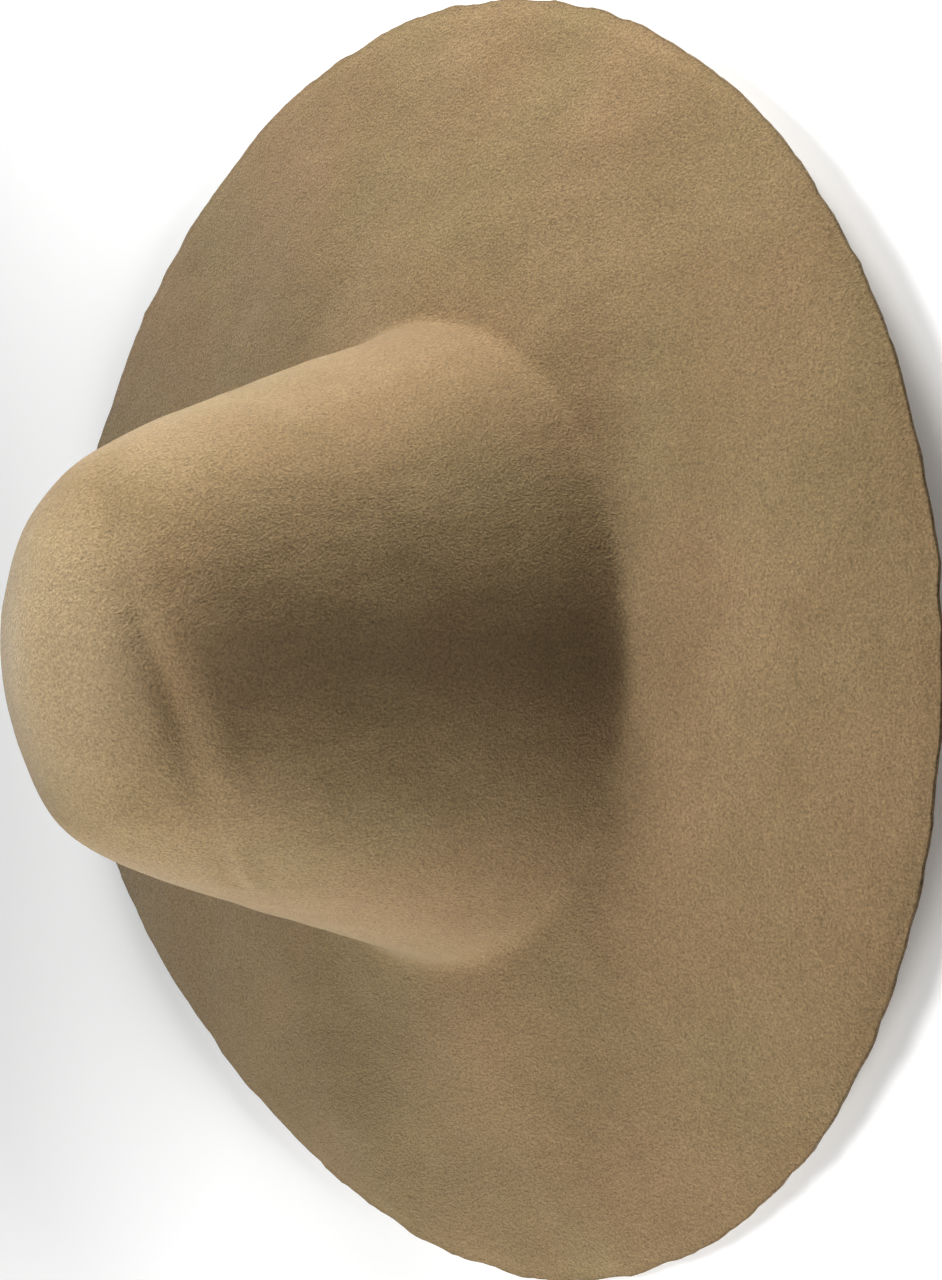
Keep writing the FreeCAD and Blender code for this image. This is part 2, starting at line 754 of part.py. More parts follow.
parts = [
    felt,
    make_sweatband(),
    make_reed(),
    make_reed_tape(),
    make_tape_stitches(),
    make_felt_stitches(),
    make_rear_joint_backing(),
    make_rear_joint_stitches(),
    make_bow_ribbon(),
    make_bow_knot(),
    make_lining_side(),
    make_flat_oval(
        "lining_tip",
        "sizes.tip_trim",
        "sizes.lining_thickness",
        "sizes.tip_height",
    ),
    make_piping(),
    make_tip_stitches("lining_stitches", "seam_stitch_count", size("seam_inset"), 0),
    make_flat_oval(
        "tip_protector",
        "sizes.protector_margin",
        "sizes.protector_thickness",
        f"sizes.tip_height - ({FILM_DROP})",
    ),
    make_tip_stitches("protector_stitches", "film_stitch_count", film_stitch_inset, film_drop),
]
doc.recompute()

for item in doc.Objects:
    if "Invalid" in item.State or "Error" in item.State:
        raise RuntimeError(f"{item.Name} failed: {item.State}")
for piece in parts:
    piece.Label = piece.Name
    if piece.Shape.isNull() or not piece.Shape.isValid():
        raise RuntimeError(f"{piece.Name} has no sound shape")

os.makedirs("parts", exist_ok=True)
for piece in parts:
    piece.Shape.exportStep(f"parts/{piece.Label}.step")
    print(f"{piece.Label}: {piece.Shape.Volume:.1f} mm3, solids {len(piece.Shape.Solids)}")
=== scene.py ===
"""The looks of an open-crown felt hat with a wide brim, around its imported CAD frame.

Lengths in this script are in millimetres, in the CAD's frame: +Z up, Z = 0 under the brim,
+X the wearer's left, -Y the wearer's front. Heights called "above the break" start at the
line where the crown turns into the brim. Meshes are written in metres.
"""

import math

import bmesh
import bpy
import numpy as np
from mathutils import Matrix, Vector


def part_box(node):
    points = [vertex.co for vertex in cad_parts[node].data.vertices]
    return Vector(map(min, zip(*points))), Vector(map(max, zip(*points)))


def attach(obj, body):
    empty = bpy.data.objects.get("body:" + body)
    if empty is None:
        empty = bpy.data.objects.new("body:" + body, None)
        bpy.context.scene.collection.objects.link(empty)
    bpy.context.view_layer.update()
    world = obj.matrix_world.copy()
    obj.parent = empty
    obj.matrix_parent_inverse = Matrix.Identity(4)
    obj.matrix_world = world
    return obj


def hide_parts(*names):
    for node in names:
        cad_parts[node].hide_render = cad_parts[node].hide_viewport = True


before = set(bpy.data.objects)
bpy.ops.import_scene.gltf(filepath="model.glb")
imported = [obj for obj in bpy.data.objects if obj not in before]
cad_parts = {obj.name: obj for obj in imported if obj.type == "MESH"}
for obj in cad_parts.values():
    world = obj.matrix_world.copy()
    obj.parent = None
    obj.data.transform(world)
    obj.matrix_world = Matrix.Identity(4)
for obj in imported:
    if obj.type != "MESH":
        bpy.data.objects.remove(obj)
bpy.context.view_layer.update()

MM = 0.001
TURN = 2 * math.pi
REAR = math.pi / 2
AROUND = 420

# --- Sizes ---


def node_box(name):
    """The lowest and highest corner of a CAD node, in millimetres."""
    low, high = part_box(name)
    return np.array(low) / MM, np.array(high) / MM


BAND_LOW = node_box("sweatband")[0]
TIP_LOW, TIP_HIGH = node_box("lining_tip")
PIPING_LOW, PIPING_HIGH = node_box("lining_piping")
FILM_LOW, FILM_HIGH = node_box("tip_protector")
BACKING_LOW, BACKING_HIGH = node_box("rear_joint_backing")

BAND_FOOT = 0.9
BREAK_Z = BAND_LOW[2] - BAND_FOOT

# The felt, with the same meaning as in the CAD.
OPENING_HALF_WIDTH = 91.0
OPENING_HALF_LENGTH = 107.0
CROWN_HEIGHT = 161.0
CROWN_TAPER = 0.45
TIP_FALL = 0.45
SHOULDER_BLEND = 0.073
BRIM_HALF_WIDTH = 208.5
BRIM_HALF_LENGTH = 216.5
BRIM_DROP = 18.0
BRIM_SADDLE = 8.0
FELT_THICKNESS = 2.4
FELT_SLANT = 1.04
BREAK_BLEND = 2.5
BREAK_SPREAD = 2.5
EDGE_WAVES = [(1, 1.8, 1.8), (2, 0.0, -3.2), (3, -2.1, 0.0), (4, 0.6, 0.8), (5, -0.9, -0.4)]
EDGE_LIFTS = [(2, 0.0, 0.5), (3, -1.0, 0.0)]
BRIM_CURVE = 0.15

# The felt's cut edge: degrees round it, its bulge, how much thinner it is, how far in that
# reaches, and where it is worn back, as a bearing, a reach in radians and a depth.
EDGE_TURNS = (35, 65, 90.5, 115, 145)
EDGE_BULGE = 0.7
EDGE_THINNING = 0.45
EDGE_BAND = 7.0
EDGE_WEAR = [(0.75, 0.5, 2.4), (5.85, 0.4, 1.8)]

# What the hand and the block left on the crown: the paths of a crease and of a tuck, and
# swellings or hollows as a centre, a reach and a height. All are above the break.
CREASE = [(36, -54, 126), (39.5, -38, 134), (41, -22, 140), (39, -6, 146), (34.5, 8, 150.5)]
CREASE += [(25, 27, 152), (11.5, 49, 146), (4, 60, 138)]
TUCK = [(14, -76, 96), (20, -70, 106), (27, -63, 114), (33, -54, 119)]
MOUNDS = [
    ((24, 40, 147), (14, 16, 9), -0.9),
    ((45, -30, 128), (12, 16, 9), 0.9),
    ((-8, -3, 161), (9, 16, 9), 0.8),
    ((12, -8, 160), (13, 26, 9), -1.1),
    ((-20, -52, 140), (14, 12, 10), 0.9),
    ((8, 80, 86), (26, 14, 22), -1.0),
    ((6, -82, 88), (26, 14, 16), -0.7),
]

# The sweatband's parts. An inset is measured from the felt's inner wall towards the head.
BAND_TOP = BAND_FOOT + 57.0
LEATHER_BACK = 1.3
LEATHER_FACE = LEATHER_BACK + 0.9 * FELT_SLANT
LEATHER_LEAN = 0.9
LEAN_RISE = 16.0
PRESSED_LINES = (BAND_TOP - 5.0, BAND_TOP - 6.6)
HALF_SLIT = 0.17
REED_INSET = 1.55
REED_DROP = 0.5
TAPE_INNER = 1.0
TAPE_OUTER = 1.25
TAPE_FLAP = 12.0
TAPE_LIP = 1.0
ZIGZAG_RISE = 1.6
ZIGZAG_SWING = 2.2
BACKING_INSETS = (0.78, 1.1)
THREAD_RADIUS = 0.2

# The bow.
BOW_RISE = 12.0
BOW_INSET = 5.09
RIBBON_HALF_WIDTH = 3.0
RIBBON_THICKNESS = 0.28
LOOP_LENGTH = 36.0
TAIL_LENGTH = 15.2
TAIL_NOTCH = 2.6

# The lining: its side follows the felt up to the knee and then curves in to the tip's seam.
SEAM_HEIGHT = TIP_LOW[2] - BREAK_Z
FILM_HEIGHT = FILM_LOW[2] - BREAK_Z
LINING_FOOT = 38.0
LINING_KNEE = 60.0
LINING_HEAD = SEAM_HEIGHT - 0.4
LINING_CLEARANCE = 0.5
LINING_THICKNESS = 0.24
TIP_THICKNESS = 0.26
TIP_TRIM = 0.1

# Stitches: how many, the share of its pitch that each one covers, and where it starts, where it
# ends and how far it arches, as a height and an inset.
TAPE_STITCH = 180, 0.45, (3.9, 2.1), (-0.4, 2.7), (0.0, 0.55)
FELT_STITCH = 84, 0.7, (3.0, 0.5), (3.0, 0.5), (0.0, 0.3)
LINING_STITCH = 96, 0.6, (SEAM_HEIGHT, 2.0), (SEAM_HEIGHT, 2.0), (-0.3, 0.0)
FILM_STITCH = 72, 0.6, (FILM_HEIGHT, 8.5), (FILM_HEIGHT, 8.5), (-0.35, 0.0)

# Felt colours, and the heights in metres over which the tip is painted paler, a painted highlight on
# the crown's top.
FELT_DARK = (133, 114, 84)
FELT_LIGHT = (150, 131, 101)
FELT_OLIVE = (141, 126, 94)
FELT_ROSY = (149, 125, 96)
# Paler felt painted on the tip: a painted highlight.
FELT_TIP_HIGHLIGHT = (182, 163, 132)
FELT_FIBRE = (158, 140, 110)
# Painted shade for the felt's cut edge, which faces away from the light.
FELT_EDGE_SHADE = (100, 82, 56)
TIP_HIGHLIGHT_HEIGHTS = (0.172, 0.190)

# Light and tone; these places and sizes are in metres.
CROWN_MIDDLE = (0, 0, 0.1)
NEAR_BRIM = (0.32, 0, 0)
SOFTBOX_SIZE = 0.35
SOFTBOX_AWAY = 0.8
FRONT_RISE = 13.0
FRONT_POWER = 7.5
REAR_RISE = 15.0
REAR_POWER = 10.2
OVERHEAD_PLACE = (-0.05, 0, 0.62)
OVERHEAD_SIZE = 0.3
OVERHEAD_POWER = 0.8
OVERHEAD_BEAM = 86.0
FLOOR_GLOW = 0.25
FAR_FLOOR_GLOW = 1.2
BACKDROP_GLOW = 1.15
WORLD_STRENGTH = 0.02
VIEW_GAMMA = 0.8

# --- Meshes ---


def circle(count):
    """Evenly spaced bearings, once round."""
    return np.arange(count) * TURN / count


def oval(half_width, half_length, height, angle):
    """Points on ovals round the hat's axis, from numbers or grids."""
    x = half_width * np.cos(angle)
    y = half_length * np.sin(angle)
    return np.stack(np.broadcast_arrays(x, y, height), -1)


def lattice(rows, columns, rows_close=False, columns_close=False):
    """Quads that join a grid of points, row after row."""
    row = np.arange(rows if rows_close else rows - 1)
    column = np.arange(columns if columns_close else columns - 1)
    row, column = [index.ravel() for index in np.meshgrid(row, column, indexing="ij")]
    next_row = (row + 1) % rows
    next_column = (column + 1) % columns
    corners = [
        row * columns + column,
        row * columns + next_column,
        next_row * columns + next_column,
        next_row * columns + column,
    ]
    return np.stack(corners, -1).tolist()


def closed_bar(rows, columns):
    """Faces of a bar made of rings, with its two ends closed."""
    last = (rows - 1) * columns
    faces = lattice(rows, columns, columns_close=True)
    faces.append(list(range(columns))[::-1])
    faces.append([last + index for index in range(columns)])
    return faces


def closed_slab(front, back):
    """A thin sheet from two grids of points, its front and its back, and a rim."""
    rows, columns = front.shape[:2]
    half = rows * columns
    faces = lattice(rows, columns)
    faces += [[index + half for index in face[::-1]] for face in lattice(rows, columns)]
    rim = list(range(columns))
    rim += [row * columns + columns - 1 for row in range(1, rows)]
    rim += [half - columns + column for column in range(columns - 2, -1, -1)]
    rim += [row * columns for row in range(rows - 2, 0, -1)]
    for here, after in zip(rim, rim[1:] + rim[:1]):
        faces.append([after, here, here + half, after + half])
    return np.concatenate([front.reshape(-1, 3), back.reshape(-1, 3)]), faces


def closed_disc(rings):
    """A closed skin of rings, from a point on top of the middle to a point under it."""
    rows, around = rings.shape[:2]
    faces = lattice(rows, around, columns_close=True)
    top = rows * around
    bottom = top + 1
    last = (rows - 1) * around
    for index in range(around):
        after = (index + 1) % around
        faces.append([top, after, index])
        faces.append([bottom, last + index, last + after])
    ends = [rings[0].mean(0), rings[-1].mean(0)]
    return np.concatenate([rings.reshape(-1, 3), ends]), faces


def joined(parts):
    """Several closed shapes, each as points and faces, as one."""
    points = []
    faces = []
    start = 0
    for part_points, part_faces in parts:
        flat = part_points.reshape(-1, 3)
        points.append(flat)
        faces += [[index + start for index in face] for face in part_faces]
        start += len(flat)
    return np.concatenate(points), faces


def make_piece(name, shape, material, stands_for, notes=None):
    """A smooth mesh that rides on the hat; notes are numbers that its material reads."""
    points, faces = shape
    mesh = bpy.data.meshes.new(name)
    mesh.from_pydata((points.reshape(-1, 3) * MM).tolist(), [], faces)
    outward = bmesh.new()
    outward.from_mesh(mesh)
    bmesh.ops.recalc_face_normals(outward, faces=outward.faces)
    outward.to_mesh(mesh)
    outward.free()
    mesh.shade_smooth()
    mesh.materials.append(material)
    for title, values in (notes or {}).items():
        mesh.attributes.new(title, "FLOAT", "POINT").data.foreach_set("value", values)
    piece = bpy.data.objects.new(name, mesh)
    bpy.context.scene.collection.objects.link(piece)
    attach(piece, "root")
    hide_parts(stands_for)
    return piece


# --- Shader nodes ---


def srgb(red, green, blue):
    """A shader colour from the usual numbers of 0 to 255."""
    shares = [value / 255 for value in (red, green, blue)]
    linear = [s / 12.92 if s <= 0.04045 else ((s + 0.055) / 1.055) ** 2.4 for s in shares]
    return (*linear, 1.0)


def feed(tree, node, inputs):
    """Sets a node's inputs to numbers or links them to other nodes' sockets."""
    for key, value in inputs.items():
        if isinstance(value, bpy.types.NodeSocket):
            tree.links.new(value, node.inputs[key])
        else:
            node.inputs[key].default_value = value


def add(tree, kind, inputs=None, **settings):
    """A new node with its settings and inputs."""
    made = tree.nodes.new(kind)
    for name, value in settings.items():
        setattr(made, name, value)
    feed(tree, made, inputs or {})
    return made


def new_material(name):
    """An empty material, its tree, its shader and the place on the object in metres."""
    material = bpy.data.materials.new(name)
    material.use_nodes = True
    tree = material.node_tree
    tree.nodes.clear()
    shader = add(tree, "ShaderNodeBsdfPrincipled")
    output = add(tree, "ShaderNodeOutputMaterial")
    tree.links.new(shader.outputs["BSDF"], output.inputs["Surface"])
    place = add(tree, "ShaderNodeTexCoord").outputs["Object"]
    return material, tree, shader, place


def noise(tree, place, size, detail=2.0, roughness=0.5):
    """Cloudy noise whose blotches are about that many millimetres across."""
    inputs = {"Vector": place, "Scale": 1 / (size * MM), "Detail": detail, "Roughness": roughness}
    return add(tree, "ShaderNodeTexNoise", inputs).outputs["Fac"]


def spread(tree, value, low, high, to_low=0.0, to_high=1.0):
    """Stretches a value from one range to another and keeps it in the new one."""
    inputs = {"Value": value, 1: low, 2: high, 3: to_low, 4: to_high}
    return add(tree, "ShaderNodeMapRange", inputs).outputs["Result"]


def blend(tree, share, first, second, mode="MIX"):
    """Mixes two colours by a share."""
    inputs = {0: share, 6: first, 7: second}
    return add(tree, "ShaderNodeMix", inputs, data_type="RGBA", blend_type=mode).outputs[2]


def sums(tree, first, second, operation="ADD"):
    """One step of arithmetic on two values."""
    return add(tree, "ShaderNodeMath", {0: first, 1: second}, operation=operation).outputs[0]


def relief(tree, height, depth, normal=None):
    """A bump whose height of 0 to 1 stands for that many millimetres."""
    inputs = {"Height": height, "Distance": depth * MM, "Strength": 1.0}
    if normal is not None:
        inputs["Normal"] = normal
    return add(tree, "ShaderNodeBump", inputs).outputs["Normal"]


def finish_material(tree, shader, color, roughness, normal, **plain):
    """Links what varies over the surface and sets what doesn't."""
    feed(tree, shader, {"Base Color": color, "Roughness": roughness, "Normal": normal})
    for key, value in plain.items():
        shader.inputs[key.replace("_", " ")].default_value = value


# --- Materials ---


def felt_material():
    """Brushed wool felt: cloudy tan, tangled grain, a tip painted paler as a painted highlight and a
    cut edge painted darker as painted shade.
    """
    material, tree, shader, place = new_material("hat_felt")
    clouds = spread(tree, noise(tree, place, 42, 3, 0.55), 0.3, 0.7)
    color = blend(tree, clouds, srgb(*FELT_DARK), srgb(*FELT_LIGHT))
    drift = spread(tree, noise(tree, place, 70, 2), 0.35, 0.65)
    color = blend(tree, 0.5, color, blend(tree, drift, srgb(*FELT_OLIVE), srgb(*FELT_ROSY)))
    # Painted highlight: the felt is painted paler near the tip's top, where the light falls on it.
    height = add(tree, "ShaderNodeSeparateXYZ", {0: place}).outputs[2]
    tip_highlight = spread(tree, height, *TIP_HIGHLIGHT_HEIGHTS, 0.0, 0.85)
    color = blend(tree, tip_highlight, color, srgb(*FELT_TIP_HIGHLIGHT))
    rim = add(tree, "ShaderNodeAttribute", attribute_name="rim").outputs["Fac"]
    # Painted shade: the cut edge, where rim is 2, is painted darker.
    color = blend(tree, spread(tree, rim, 0.9, 2.0, 0.0, 0.4), color, srgb(*FELT_EDGE_SHADE))
    inputs = {"Vector": place, "Scale": 1 / (0.9 * MM), "Detail": 4.0}
    inputs.update({"Roughness": 0.6, "Distortion": 0.25})
    grain = add(tree, "ShaderNodeTexNoise", inputs).outputs["Fac"]
    fibres = noise(tree, place, 0.55, 2, 0.6)
    tangle = sums(tree, sums(tree, grain, 0.7, "MULTIPLY"), sums(tree, fibres, 0.3, "MULTIPLY"))
    shade = spread(tree, tangle, 0.34, 0.66, 0.66, 1.34)
    color = blend(tree, 1.0, color, shade, "MULTIPLY")
    tint = spread(tree, noise(tree, place, 1.9, 2), 0.4, 0.6, 0.0, 0.12)
    color = blend(tree, tint, color, srgb(*FELT_FIBRE))
    depth = sums(tree, 0.72, spread(tree, rim, 0.9, 2.0, 0.0, 0.5))
    normal = relief(tree, noise(tree, place, 6, 3, 0.6), 0.35)
    normal = relief(tree, sums(tree, tangle, depth, "MULTIPLY"), 1.0, normal)
    roughness = spread(tree, fibres, 0.3, 0.7, 0.82, 0.97)
    plain = {"Specular_IOR_Level": 0.3, "Sheen_Weight": 0.35, "Sheen_Roughness": 0.3}
    finish_material(tree, shader, color, roughness, normal, **plain)
    return material


def leather_material():
    """Smooth tanned leather: pores, fine creases and a burnished tone."""
    material, tree, shader, place = new_material("hat_leather")
    tone = spread(tree, noise(tree, place, 35, 4, 0.6), 0.3, 0.7)
    color = blend(tree, tone, srgb(122, 76, 45), srgb(150, 98, 62))
    inputs = {"Vector": place, "Scale": 1 / (0.7 * MM), "Randomness": 0.9}
    cells = add(tree, "ShaderNodeTexVoronoi", inputs, feature="DISTANCE_TO_EDGE")
    creases = spread(tree, cells.outputs["Distance"], 0.0, 0.18)
    color = blend(tree, spread(tree, creases, 0, 1, 0.35, 0.0), color, srgb(74, 42, 24))
    pores = spread(tree, noise(tree, place, 0.35, 2, 0.7), 0.25, 0.5)
    normal = relief(tree, creases, 0.05)
    normal = relief(tree, pores, 0.03, normal)
    roughness = spread(tree, noise(tree, place, 12, 3), 0.3, 0.7, 0.38, 0.52)
    finish_material(tree, shader, color, roughness, normal, Coat_Weight=0.08, Coat_Roughness=0.35)
    return material


def plastic_material():
    """Extruded plastic: faint streaks and a dull shine."""
    material, tree, shader, place = new_material("hat_reed")
    streaks = noise(tree, place, 2.5, 3)
    color = blend(tree, streaks, srgb(196, 190, 176), srgb(224, 219, 206))
    normal = relief(tree, noise(tree, place, 0.6), 0.02)
    roughness = spread(tree, streaks, 0.3, 0.7, 0.35, 0.5)
    finish_material(tree, shader, color, roughness, normal)
    return material


def weave(tree, place, pitch):
    """A plain weave of that pitch, as a height from 0 to 1."""
    parts = add(tree, "ShaderNodeSeparateXYZ", {0: place})
    rate = TURN / (pitch * MM)
    bearing = sums(tree, parts.outputs[1], parts.outputs[0], "ARCTAN2")
    around = sums(tree, bearing, 95 * MM, "MULTIPLY")
    warp = sums(tree, sums(tree, around, rate, "MULTIPLY"), 0.0, "SINE")
    weft = sums(tree, sums(tree, parts.outputs[2], rate, "MULTIPLY"), 0.0, "SINE")
    return spread(tree, sums(tree, warp, weft, "MULTIPLY"), -1, 1)


def cloth_material():
    """Plain-woven cotton tape in two close tones."""
    material, tree, shader, place = new_material("hat_tape")
    threads = weave(tree, place, 0.9)
    clouds = spread(tree, noise(tree, place, 9, 3), 0.3, 0.7, 0.0, 0.3)
    light, dark = srgb(144, 112, 86), srgb(104, 78, 58)
    color = blend(tree, clouds, blend(tree, threads, dark, light), dark)
    normal = relief(tree, threads, 0.1)
    normal = relief(tree, noise(tree, place, 0.4, 3, 0.6), 0.05, normal)
    finish_material(tree, shader, color, 0.9, normal, Sheen_Weight=0.1)
    return material


def thread_material():
    """Twisted cotton thread."""
    material, tree, shader, place = new_material("hat_thread")
    fibres = noise(tree, place, 0.3, 3, 0.7)
    color = blend(tree, spread(tree, fibres, 0.3, 0.7), srgb(150, 124, 88), srgb(206, 182, 146))
    normal = relief(tree, fibres, 0.04)
    finish_material(tree, shader, color, 0.75, normal, Sheen_Weight=0.2)
    return material


def ribbon_material():
    """Grosgrain ribbon: fine ribs across its length."""
    material, tree, shader, place = new_material("hat_ribbon")
    along = add(tree, "ShaderNodeAttribute", attribute_name="along").outputs["Fac"]
    ribs = sums(tree, sums(tree, along, TURN / 0.7, "MULTIPLY"), 0.0, "SINE")
    height = spread(tree, ribs, -1, 1)
    color = blend(tree, height, srgb(58, 38, 24), srgb(98, 70, 46))
    clouds = spread(tree, noise(tree, place, 4, 3), 0.3, 0.7, 0.0, 0.3)
    color = blend(tree, clouds, color, srgb(82, 56, 36))
    normal = relief(tree, height, 0.12)
    normal = relief(tree, noise(tree, place, 0.25, 2, 0.6), 0.02, normal)
    finish_material(tree, shader, color, 0.6, normal, Sheen_Weight=0.25)
    return material


def satin_material():
    """Lining satin: a soft shine, fine threads and small creases."""
    material, tree, shader, place = new_material("hat_satin")
    clouds = spread(tree, noise(tree, place, 30, 3), 0.3, 0.7)
    color = blend(tree, clouds, srgb(192, 173, 143), srgb(212, 195, 168))
    threads = weave(tree, place, 0.45)
    color = blend(tree, spread(tree, threads, 0, 1, 0.0, 0.15), color, srgb(164, 142, 108))
    normal = relief(tree, noise(tree, place, 7, 3, 0.5), 0.35)
    normal = relief(tree, threads, 0.02, normal)
    roughness = spread(tree, noise(tree, place, 14, 3), 0.3, 0.7, 0.28, 0.4)
    plain = {"Anisotropic": 0.4, "Sheen_Weight": 0.15, "Specular_IOR_Level": 0.55}
    finish_material(tree, shader, color, roughness, normal, **plain)
    return material


def film_material():
    """Thin clear film with faint scuffs."""
    material, tree, shader, place = new_material("hat_film")
    scuffs = spread(tree, noise(tree, place, 5, 4, 0.7), 0.35, 0.7)
    color = blend(tree, scuffs, srgb(244, 244, 240), srgb(228, 229, 226))
    normal = relief(tree, noise(tree, place, 22, 1), 0.15)
    roughness = spread(tree, scuffs, 0, 1, 0.05, 0.22)
    finish_material(tree, shader, color, roughness, normal, Transmission_Weight=0.92, IOR=1.46)
    return material


# --- The felt's shape ---


def soft_less(first, second, softness):
    """The smaller of two values, with the change from one to the other rounded off."""
    return -softness * np.logaddexp(-first / softness, -second / softness)


def soft_more(first, second, softness):
    """The larger of two values, rounded off in the same way."""
    return -soft_less(-first, -second, softness)


def smooth_step(value, low, high):
    """From 0 at low to 1 at high, with no corner."""
    share = np.clip((value - low) / (high - low), 0, 1)
    return share * share * (3 - 2 * share)


def waves(terms, angle):
    """A sum of waves round the hat, each a number, a cosine part and a sine part."""
    return sum(c * np.cos(n * angle) + s * np.sin(n * angle) for n, c, s in terms)


def brim_edge(angle):
    """The top of the cut edge, from the centre of the break."""
    stretch = 1 + waves(EDGE_WAVES, angle) / BRIM_HALF_LENGTH
    height = BRIM_SADDLE * np.cos(2 * angle) - BRIM_DROP + waves(EDGE_LIFTS, angle)
    x = BRIM_HALF_WIDTH * stretch * np.cos(angle)
    y = BRIM_HALF_LENGTH * stretch * np.sin(angle)
    return x, y, height


def plain_felt(run, angle):
    """The felt's upper face: run is 0 at the tip, 1 at the break and 2 at the cut edge."""
    edge_x, edge_y, edge_z = brim_edge(angle)
    turn_x = OPENING_HALF_WIDTH * np.cos(angle)
    turn_y = OPENING_HALF_LENGTH * np.sin(angle)
    turn_span = np.hypot(turn_x, turn_y)
    inside = (run - 1) * turn_span / (np.hypot(edge_x, edge_y) - turn_span)
    reach = np.where(run <= 1, inside, run - 1)
    x = np.where(run <= 1, turn_x * run, turn_x + (edge_x - turn_x) * reach)
    y = np.where(run <= 1, turn_y * run, turn_y + (edge_y - turn_y) * reach)
    share = np.hypot(x / OPENING_HALF_WIDTH, y / OPENING_HALF_LENGTH)
    crown = soft_less((1 - share) / CROWN_TAPER, 1 - TIP_FALL * share**2, SHOULDER_BLEND)
    brim = edge_z * reach * (1 - BRIM_CURVE + BRIM_CURVE * reach)
    softness = BREAK_BLEND + BREAK_SPREAD * (1 - np.sin(angle)) / 2
    height = soft_more(crown * CROWN_HEIGHT, brim, softness)
    return np.stack([x, y, height], -1)


def plain_normal(run, angle):
    """The upward normal of the plain upper face."""
    nudge = 0.002
    run = np.maximum(run, 2 * nudge)
    along = plain_felt(run + nudge, angle) - plain_felt(run - nudge, angle)
    around = plain_felt(run, angle + nudge) - plain_felt(run, angle - nudge)
    normal = np.cross(along, around)
    return normal / np.linalg.norm(normal, axis=-1, keepdims=True)


def ripples(points, length, seed):
    """Irregular gentle waves of about that length in space, from about -1 to 1."""
    random = np.random.default_rng(seed)
    count = 14
    total = 0
    for _ in range(count):
        way = random.normal(size=3)
        way *= TURN / length / np.linalg.norm(way) * random.uniform(0.6, 1.3)
        total = total + np.cos(points @ way + random.uniform(0, TURN))
    return total * math.sqrt(2 / count) / 1.6


def around_ripples(angle, length, seed):
    """Irregular waves of about that length along the cut edge."""
    random = np.random.default_rng(seed)
    turns = TURN * BRIM_HALF_LENGTH / length
    total = 0
    count = 12
    for _ in range(count):
        turn = round(turns * random.uniform(0.6, 1.4))
        total = total + np.cos(turn * angle + random.uniform(0, TURN))
    return total * math.sqrt(2 / count) / 1.6


def mound(points, centre, reach, height):
    """A rounded swelling, or a hollow where the height is below 0."""
    offset = (points - np.array(centre)) / np.array(reach)
    return height * np.exp(-(offset**2).sum(-1))


def fold(points, path, width, depth, lip):
    """A soft groove along a path on the crown, with a raised lip on its lower side."""
    path = np.array(path, float)
    nearest = np.full(points.shape[:-1], np.inf)
    side = np.zeros_like(nearest)
    share = np.zeros_like(nearest)
    for index in range(len(path) - 1):
        step = path[index + 1] - path[index]
        offset = points - path[index]
        at = np.clip(offset @ step / (step @ step), 0, 1)
        away = offset - at[..., None] * step
        distance = np.linalg.norm(away, axis=-1)
        closer = distance < nearest
        down = np.cross(step, path[index] * (1, 1, 0))
        down *= -np.sign(down[2]) / np.linalg.norm(down)
        nearest = np.where(closer, distance, nearest)
        side = np.where(closer, away @ down, side)
        share = np.where(closer, (index + at) / (len(path) - 1), share)
    fade = np.sin(math.pi * np.clip(share, 0.02, 0.98)) ** 0.7
    groove = np.exp(-((nearest / width) ** 2))
    lip_offset = 1.9 * width
    raised = np.exp(-(((side - lip_offset) / width) ** 2) - ((nearest - np.abs(side)) / width) ** 2)
    return fade * (lip * raised - depth * groove)


def felt_dents(points):
    """The marks of hand and block on the plain shape, as a height outwards."""
    height = points[..., 2]
    total = fold(points, CREASE, 4.6, 2.1, 1.0) + fold(points, TUCK, 2.6, 0.9, 0.7)
    for centre, reach, rise in MOUNDS:
        total = total + mound(points, centre, reach, rise)
    on_crown = smooth_step(height, 8, 40)
    total = total + on_crown * (0.45 * ripples(points, 60, 3) + 0.16 * ripples(points, 22, 4))
    on_brim = 1 - smooth_step(height, 0, 12)
    total = total + on_brim * (0.6 * ripples(points, 75, 5) + 0.2 * ripples(points, 26, 6))
    return total + 0.05 * ripples(points, 9, 7)


def felt_runs(step):
    """Runs from the tip to the cut edge, about that far apart along the rear of the hat."""
    fine = np.linspace(0, 2, 4001)
    line = plain_felt(fine, np.full_like(fine, REAR))
    length = np.concatenate([[0], np.cumsum(np.linalg.norm(np.diff(line, axis=0), axis=1))])
    count = int(length[-1] / step)
    return np.interp(np.linspace(0, length[-1], count + 1), length, fine)


def worn_edge(angle):
    """How far the cut edge lies outside its plain line."""
    wander = 0.5 * around_ripples(angle, 60, 11) + 0.3 * around_ripples(angle, 22, 12)
    back = sum(d * np.exp(-(((angle - bearing) / reach) ** 2)) for bearing, reach, d in EDGE_WEAR)
    return wander - back + 0.09 * around_ripples(angle, 7, 13)


def felt_rings(runs, angle, depth, bulge=0.0):
    """Rings of felt at a depth under the upper face, and each point's way to the edge."""
    run, turn = np.meshgrid(runs, angle, indexing="ij")
    plain = plain_felt(run, turn)
    normal = plain_normal(run, turn)
    to_edge = (2 - run) * (BRIM_HALF_LENGTH - OPENING_HALF_LENGTH)
    at_edge = smooth_step(to_edge, EDGE_BAND, 0)
    beside_band = smooth_step(plain[..., 2], -9, -4) * (1 - smooth_step(plain[..., 2], 62, 78))
    dents = felt_dents(plain) * (1 - beside_band * smooth_step(depth, 0.5, 2.0))
    dents = dents * (1 - 0.8 * smooth_step(to_edge, 30, 0))
    points = plain - normal * depth + normal * dents[..., None]
    push = worn_edge(angle) * at_edge + bulge
    points[..., :2] *= (1 + push / np.hypot(points[..., 0], points[..., 1]))[..., None]
    points[..., 2] -= EDGE_THINNING * (1 - depth / FELT_THICKNESS) * at_edge
    return points, to_edge


